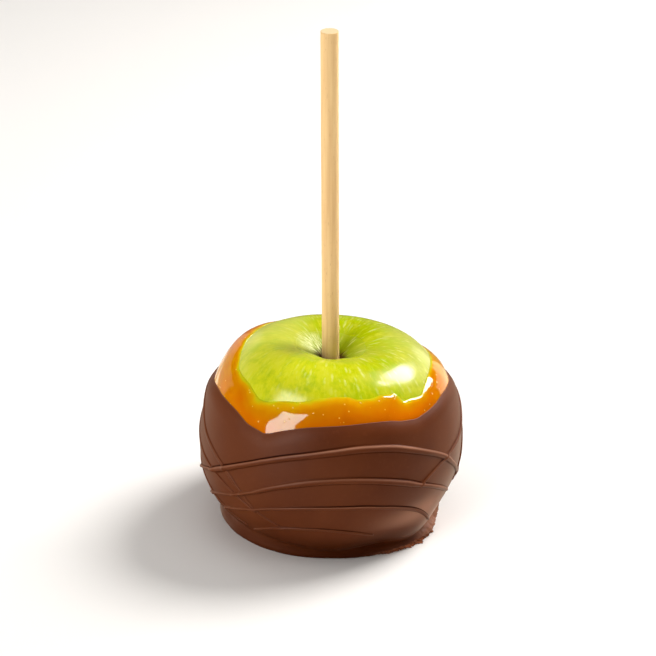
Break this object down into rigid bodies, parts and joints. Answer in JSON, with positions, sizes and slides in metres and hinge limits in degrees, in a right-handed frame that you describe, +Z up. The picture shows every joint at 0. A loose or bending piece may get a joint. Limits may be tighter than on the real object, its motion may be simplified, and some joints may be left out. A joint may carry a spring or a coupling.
{
  "type": "chocolate caramel apple",
  "caption": "Whole green apple on a round wooden stick, dipped in caramel and then in chocolate, with thin chocolate drizzle and a flat foot to stand on.",
  "frame": {"origin": "centre of the flat chocolate foot, on the surface it stands on, below the stick", "axes": "+Z up along the stick, -Y towards the side that shows in front"},
  "size_m": [0.0983, 0.0975, 0.1871],
  "materials": {
    "apple_skin": "waxy green apple skin with pale flecks",
    "stick_wood": "bare birch dowel",
    "caramel": "clear glossy amber caramel",
    "chocolate": "satin milk chocolate"
  },
  "bodies": {
    "root": {"apple": "apple_skin", "stick": "stick_wood", "caramel_coat": "caramel", "chocolate_coat": "chocolate"}
  },
  "joints": []
}
